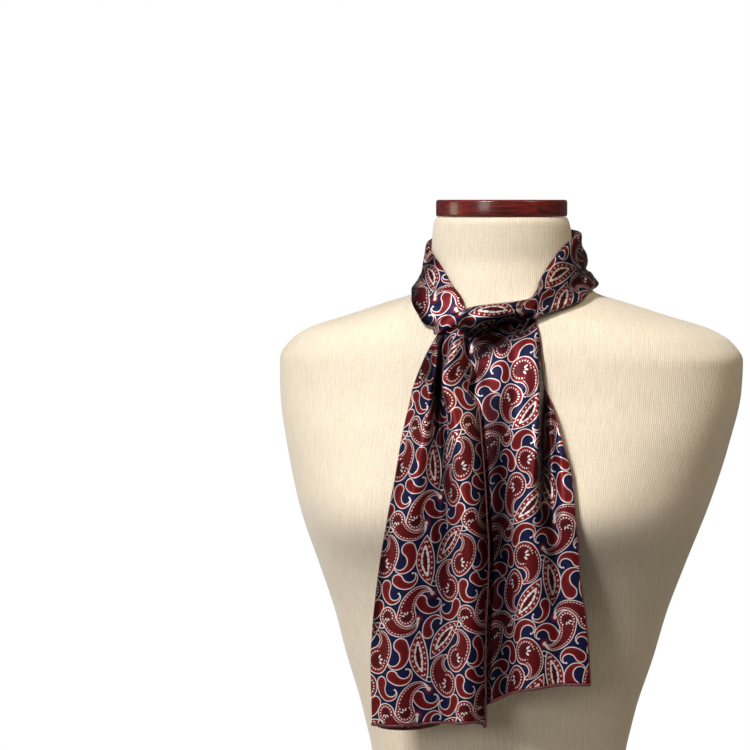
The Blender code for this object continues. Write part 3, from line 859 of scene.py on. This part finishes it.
def hem_materials():
    """The rolled hem, where the print is wound up dark, and its thread."""
    look = bpy.context.scene.scarf_look
    tree, shader = new_material("rolled hem", Roughness=0.50, Sheen_Weight=0.2, Specular_IOR_Level=0.4)
    flat = source(tree, "ShaderNodeUVMap", uv_map=FLAT)
    colour = blend(fade(noise(flat, 190.0, 1.0), 0.46, 0.54), look.core, look.fill)
    colour = blend(fade(noise(flat, 320.0, 0.0), 0.62, 0.68) * 0.25, colour, look.line)
    link(blend(0.82, colour, look.core), shader.inputs["Base Color"])
    bump(shader, woven(flat, look.weave_pitch), 0.00004, 0.6)
    tree, shader = new_material("hem thread", Roughness=0.55, Sheen_Weight=0.3)
    twist = noise(source(tree, "ShaderNodeTexCoord", "Object"), 2200.0)
    link(blend(twist * 0.4, look.core, look.fill), shader.inputs["Base Color"])


def jersey_material():
    """Fine upright ribs with a soft nap, and painted shade in the grooves between the ribs."""
    look = bpy.context.scene.form_look
    tree, shader = new_material("ribbed jersey", Roughness=0.88, Sheen_Weight=0.35, Sheen_Roughness=0.5,
                                Specular_IOR_Level=0.25)
    flat = source(tree, "ShaderNodeUVMap", uv_map=FLAT)
    side, height = split(flat)
    wander = noise(vectors("MULTIPLY", flat, (420.0, 60.0, 0.0)), 1.0, 3.0)
    across = wander * 0.25 + side / look.rib_pitch
    rib = maths("SINE", across * (2 * math.pi)) * 0.5 + 0.5
    stitch = maths("SINE", height / (look.rib_pitch * 0.11))
    nap = noise(flat, 620.0, 4.0)
    # Painted shade in the grooves between the ribs: they take the darker jersey colour by a random amount,
    # and the nap and a broad noise mottle towards it at random.
    painted_groove_shade = blend(fade(wander, 0.2, 0.8) * 0.8, look.jersey, look.jersey_groove_shade_and_nap)
    colour = blend(fade(rib, 0.05, 0.75), painted_groove_shade, look.jersey)
    colour = blend(fade(nap, 0.35, 0.70) * 0.34, colour, look.jersey_groove_shade_and_nap)
    colour = blend(fade(noise(flat, 26.0, 3.0), 0.4, 0.7) * 0.10, colour, look.jersey_groove_shade_and_nap)
    link(colour, shader.inputs["Base Color"])
    raised = rib * 0.8 + rib * stitch * 0.15 + nap * 0.5 + woven(flat, 0.0006) * 0.15
    bump(shader, raised, 0.00025, 0.7)


def mahogany_material():
    """Dark red polished wood, its grain along the cap's width."""
    look = bpy.context.scene.form_look
    coat = {"Coat_Weight": 0.3, "Coat_Roughness": 0.12}
    tree, shader = new_material("polished mahogany", Specular_IOR_Level=0.3, **coat)
    place = source(tree, "ShaderNodeTexCoord", "Object")
    stretched = vectors("MULTIPLY", place, (14.0, 130.0, 700.0))
    grain = noise(stretched, 1.0, 5.0, 0.4)
    colour = blend(fade(grain, 0.30, 0.72), look.wood_dark, look.wood)
    colour = blend(fade(noise(place, 22.0, 1.0), 0.50, 0.75) * 0.6, colour, look.wood_red)
    colour = blend(fade(noise(stretched, 4.0), 0.62, 0.72) * 0.5, colour, look.wood_dark)
    link(colour, shader.inputs["Base Color"])
    link(grain * 0.15 + 0.24, shader.inputs["Roughness"])
    bump(shader, grain, 0.00006, 0.5)


def colour_of(name, description, *value):
    return bpy.props.FloatVectorProperty(name=name, description=description, subtype="COLOR", size=4,
                                         min=0.0, max=1.0, default=(*value, 1.0))


def value_of(name, description, value, low=0.0, **more):
    return bpy.props.FloatProperty(name=name, description=description, default=value, min=low, **more)


def size_of(name, description, value, low, high):
    return value_of(name, description, value, low, max=high, unit="LENGTH", precision=5)


def power_of(name, description, value):
    return value_of(name, description, value, unit="POWER")


class FormLook(bpy.types.PropertyGroup):
    """Sizes and colours of the dress form."""
    rib_pitch: size_of("Rib pitch", "From one rib of the jersey to the next", 0.0018, 0.001, 0.005)
    cap_edge: size_of("Cap edge", "Rounding of the neck cap's edges", 0.0022, 0.0005, 0.005)
    jersey: colour_of("Jersey", "The jersey's ribs", 0.84, 0.74, 0.595)
    # The darker jersey colour: painted shade in the grooves between the ribs, and the random mottle of the
    # nap.
    jersey_groove_shade_and_nap: colour_of("Jersey grooves", "Between the jersey's ribs", 0.58, 0.475, 0.345)
    wood: colour_of("Wood", "The neck cap", 0.190, 0.017, 0.013)
    wood_dark: colour_of("Dark wood", "The neck cap's grain", 0.045, 0.007, 0.006)
    wood_red: colour_of("Red wood", "The neck cap's warm bands", 0.17, 0.014, 0.013)


class ScarfLook(bpy.types.PropertyGroup):
    """Sizes and colours of the scarf."""
    thickness: size_of("Cloth thickness", "The silk's own thickness", 0.0005, 0.0002, 0.0012)
    weave_pitch: size_of("Weave pitch", "From one line of the weave to the next", 0.0005, 0.0002, 0.002)
    hem_radius: size_of("End hem radius", "Radius of the hem at the scarf's ends", 0.0012, 0.0005, 0.002)
    side_radius: size_of("Side hem radius", "Radius of the hem along the sides", 0.0007, 0.0003, 0.002)
    stitch_step: size_of("Stitch step", "From one hem stitch to the next", 0.0055, 0.003, 0.02)
    # How strongly the painted shade darkens the print in the folds.
    painted_fold_shade: value_of("Fold shade", "How dark the deepest folds lie", 0.95, max=1.0, subtype="FACTOR")
    ground: colour_of("Ground", "The print's navy ground", 0.010, 0.012, 0.052)
    line: colour_of("Outline", "The print's pale outlines and dots", 0.86, 0.76, 0.75)
    fill: colour_of("Red", "The inside of the motifs", 0.37, 0.021, 0.022)
    core: colour_of("Maroon", "The hearts of the motifs", 0.075, 0.006, 0.009)


class StageLook(bpy.types.PropertyGroup):
    """The studio's lights, floor and camera."""
    key_power: power_of("Key light", "Power of the main light, in front and above", 88.0)
    low_power: power_of("Low light", "Power of the low light in front", 16.0)
    left_power: power_of("Left light", "Power of the light from the left", 13.0)
    right_power: power_of("Right light", "Power of the light from the right", 30.0)
    surround: value_of("Surround", "Strength of the light from all sides", 0.09)
    floor_radius: size_of("Floor radius", "Radius of the pale floor", 1.0, 0.5, 5.0)
    lens: value_of("Lens", "The camera's focal length", 160.0, 20.0, unit="CAMERA")


class SCARF_OT_dress_form(bpy.types.Operator):
    """Build the dress form's jersey body"""
    bl_idname = "scarf.dress_form"
    bl_label = "Dress form"

    def execute(self, context):
        turns = np.linspace(180.0, -180.0, FORM_COLUMNS + 1)
        rows = FORM["below"]
        levels = np.interp(np.linspace(0, 1, FORM_LEVELS + 1), np.linspace(0, 1, len(rows)), rows)
        points = on_form(turns, levels[:, None])
        mesh = closed(grid(points, flat_cloth(points, FORM_COLUMNS // 2)), 0.00005)
        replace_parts(finished("jersey_body", mesh, "ribbed jersey"), "dress_form_torso")
        return {"FINISHED"}


class SCARF_OT_neck_cap(bpy.types.Operator):
    """Build the polished wooden neck cap"""
    bl_idname = "scarf.neck_cap"
    bl_label = "Neck cap"

    def execute(self, context):
        low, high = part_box("neck_cap")
        radius = (high.x - low.x) / 2
        mesh = bmesh.new()
        size = {"radius1": radius, "radius2": radius, "depth": high.z - low.z}
        bmesh.ops.create_cone(mesh, cap_ends=True, segments=128, **size)
        rims = [edge for edge in mesh.edges if abs(edge.verts[0].co.z - edge.verts[1].co.z) < 0.00005]
        edge = context.scene.form_look.cap_edge
        bmesh.ops.bevel(mesh, geom=rims, offset=edge, segments=5, profile=0.5, affect="EDGES", material=-1)
        bmesh.ops.translate(mesh, verts=mesh.verts, vec=(low + high) / 2)
        piece = finished("wooden_neck_cap", mesh, "polished mahogany")
        piece.data.set_sharp_from_angle(angle=math.radians(50))
        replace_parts(piece, "neck_cap")
        return {"FINISHED"}


class SCARF_OT_strand(bpy.types.Operator):
    """Build the strand round the neck, across the front and over the knot"""
    bl_idname = "scarf.strand"
    bl_label = "Strand"

    def execute(self, context):
        points, deep = strand_points()
        flat = flat_cloth(points, STRAND_AROUND // 2) + STRAND_PRINT
        piece = silk_piece("silk_strand", points, flat, deep)
        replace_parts(piece, "scarf_neck_loop", "scarf_front_band", "scarf_knot_wrap")
        return {"FINISHED"}


# The share by which a hem narrows at a stitch, and how sharply.
HEM_PINCH, PINCH_POWER = 0.14, 8
HEM_PARTS = 6
STITCH_HALF_SIZE = (0.00025, 0.00030, 0.00070)
# How far a stitch lies out from the hem's middle, and the hem from its edge, as shares of the radius.
STITCH_OUT, HEM_OUT = 0.86, 0.9


def at_lengths(places, measured, rows):
    return np.stack([np.interp(places, measured, column) for column in rows.T], axis=-1)


def edge_hem(name, route, flat, radius, step):
    """A rolled hem along an edge, pinched a little at each stitch, and its stitches."""
    measured = lengths(route)
    places = np.linspace(0.0, measured[-1], round(measured[-1] / (step / HEM_PARTS)))
    route, flat = at_lengths(places, measured, route), at_lengths(places, measured, flat)
    radii = radius * (1 - HEM_PINCH * np.cos(places / step * 2 * np.pi) ** PINCH_POWER)
    roll = finished(name, tube(route, radii, flat), "rolled hem")
    stitches = bmesh.new()
    for middle in at_lengths(np.arange(step / 2, measured[-1], step), places, route):
        made = bmesh.ops.create_uvsphere(stitches, u_segments=6, v_segments=4, radius=1.0)["verts"]
        bmesh.ops.scale(stitches, verts=made, vec=STITCH_HALF_SIZE)
        place = Vector(middle) - Vector((0.0, radius * STITCH_OUT, 0.0))
        bmesh.ops.translate(stitches, verts=made, vec=place)
    return roll, finished(name + "_stitches", stitches, "hem thread")


def under(edge, radius):
    """A hem's route just past an edge, square to it in the cloth."""
    along = unit(np.gradient(edge, axis=0))
    down = np.array((0.0, 0.0, -1.0)) + along * along[:, 2:]
    return edge + radius * HEM_OUT * unit(down)


class SCARF_OT_tails(bpy.types.Operator):
    """Build the two hanging tails with their rolled hems and stitches"""
    bl_idname = "scarf.tails"
    bl_label = "Tails and hems"

    def execute(self, context):
        look = context.scene.scarf_look
        left, left_painted_shade = left_tail_points()
        right, right_painted_shade = right_tail_points()
        middle = LEFT_BACK_COLUMNS + LEFT_FOLD_COLUMNS + LEFT_FRONT_COLUMNS // 2
        left_flat = flat_cloth(left, middle) * (1, -1) + LEFT_PRINT
        right_flat = flat_cloth(right, RIGHT_COLUMNS // 2) * (-1, 1) + RIGHT_PRINT
        hem, step = look.hem_radius, look.stitch_step
        left_piece = silk_piece("silk_left_tail", left, left_flat, left_painted_shade)
        right_piece = silk_piece("silk_right_tail", right, right_flat, right_painted_shade)
        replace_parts(left_piece, "scarf_left_tail")
        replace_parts(right_piece, "scarf_right_tail")
        left_end = edge_hem("left_end_hem", under(left[-1], hem), left_flat[-1], hem, step)
        right_end = edge_hem("right_end_hem", under(right[-1], hem), right_flat[-1], hem, step)
        left_side = edge_hem("left_side_hem", left[:, -1], left_flat[:, -1], look.side_radius, step)
        right_side = edge_hem("right_side_hem", right[:, -1], right_flat[:, -1], look.side_radius, step)
        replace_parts(left_end[0], "left_tail_hem")
        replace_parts(right_end[0], "right_tail_hem")
        return {"FINISHED"}


CAMERA_PLACE = (0.5822, -2.7488, 0.7170)
CAMERA_AIM = (-0.1039, -0.0321, 0.5727)
LIGHT_AIM = (0.0, 0.0, 0.45)
LIGHTS = table(
    "name x y z size red green blue",
    ("key", -0.73, -1.99, 2.57, 0.7, 1, 1, 1),
    ("low", -0.9, -2.7, 1, 0.9, 1, 0.98, 0.96),
    ("left", -2.95, -0.52, 0.6, 0.9, 1, 0.93, 0.7),
    ("right", 1.9, -0.33, 2.75, 0.9, 1, 0.85, 0.6),
)


def aimed(name, data, place, aim):
    """A light or camera turned to a point."""
    made = bpy.data.objects.new(name, data)
    made.location = place
    made.rotation_euler = (Vector(aim) - Vector(place)).to_track_quat("-Z", "Y").to_euler()
    bpy.context.scene.collection.objects.link(made)
    return made


class SCARF_OT_studio(bpy.types.Operator):
    """Set the pale floor, the white surround, the soft lights and the camera"""
    bl_idname = "scarf.studio"
    bl_label = "Studio"

    def execute(self, context):
        scene = context.scene
        look = scene.stage_look
        tree, shader = new_material("pale floor", Roughness=0.7)
        cloud = noise(source(tree, "ShaderNodeTexCoord", "Object"), 3.0)
        colour = blend(cloud, (0.90, 0.90, 0.89, 1.0), (0.94, 0.94, 0.93, 1.0))
        seen = source(tree, "ShaderNodeLightPath", "Is Camera Ray")
        link(blend(seen, (0.15, 0.14, 0.13, 1.0), colour), shader.inputs["Base Color"])
        mesh = bmesh.new()
        bmesh.ops.create_circle(mesh, cap_ends=True, segments=96, radius=look.floor_radius)
        placed("floor", mesh, "pale floor")
        world = bpy.data.worlds.new("surround")
        world.use_nodes = True
        scene.world = world
        shader = world.node_tree.nodes["Background"]
        shader.inputs["Color"].default_value = (1.0, 1.0, 1.0, 1.0)
        seen = source(world.node_tree, "ShaderNodeLightPath", "Is Camera Ray")
        link(seen * (1.0 - look.surround) + look.surround, shader.inputs["Strength"])
        for name, x, y, z, size, *colour in zip(*LIGHTS.values()):
            light = bpy.data.lights.new(name, "AREA")
            light.energy = getattr(look, name + "_power")
            light.size = size
            light.color = colour
            aimed(name, light, (x, y, z), LIGHT_AIM)
        camera = bpy.data.cameras.new("camera")
        camera.lens = look.lens
        camera.sensor_width = 36.0
        scene.camera = aimed("camera", camera, CAMERA_PLACE, CAMERA_AIM)
        scene.view_settings.view_transform = "Standard"
        return {"FINISHED"}


LOOKS = {FormLook: "form_look", ScarfLook: "scarf_look", StageLook: "stage_look"}
STEPS = (SCARF_OT_dress_form, SCARF_OT_neck_cap, SCARF_OT_strand, SCARF_OT_tails, SCARF_OT_studio)


class SCARF_PT_panel(bpy.types.Panel):
    """Lists the pieces and their sizes and colours"""
    bl_label = "Scarf on a dress form"
    bl_space_type = "VIEW_3D"
    bl_region_type = "UI"
    bl_category = "Scarf"

    def draw(self, context):
        for look, name in LOOKS.items():
            for value in look.__annotations__:
                self.layout.prop(getattr(context.scene, name), value)
        for step in STEPS:
            self.layout.operator(step.bl_idname)


def register():
    for look, name in LOOKS.items():
        bpy.utils.register_class(look)
        setattr(bpy.types.Scene, name, bpy.props.PointerProperty(type=look))
    for step in (*STEPS, SCARF_PT_panel):
        bpy.utils.register_class(step)


def unregister():
    for step in (*STEPS, SCARF_PT_panel):
        bpy.utils.unregister_class(step)
    for look, name in LOOKS.items():
        delattr(bpy.types.Scene, name)
        bpy.utils.unregister_class(look)


def main():
    register()
    for build in (weave_group, silk_material, hem_materials, jersey_material, mahogany_material):
        build()
    bpy.ops.scarf.dress_form()
    bpy.ops.scarf.neck_cap()
    bpy.ops.scarf.strand()
    bpy.ops.scarf.tails()
    bpy.ops.scarf.studio()


if __name__ == "__main__":
    main()
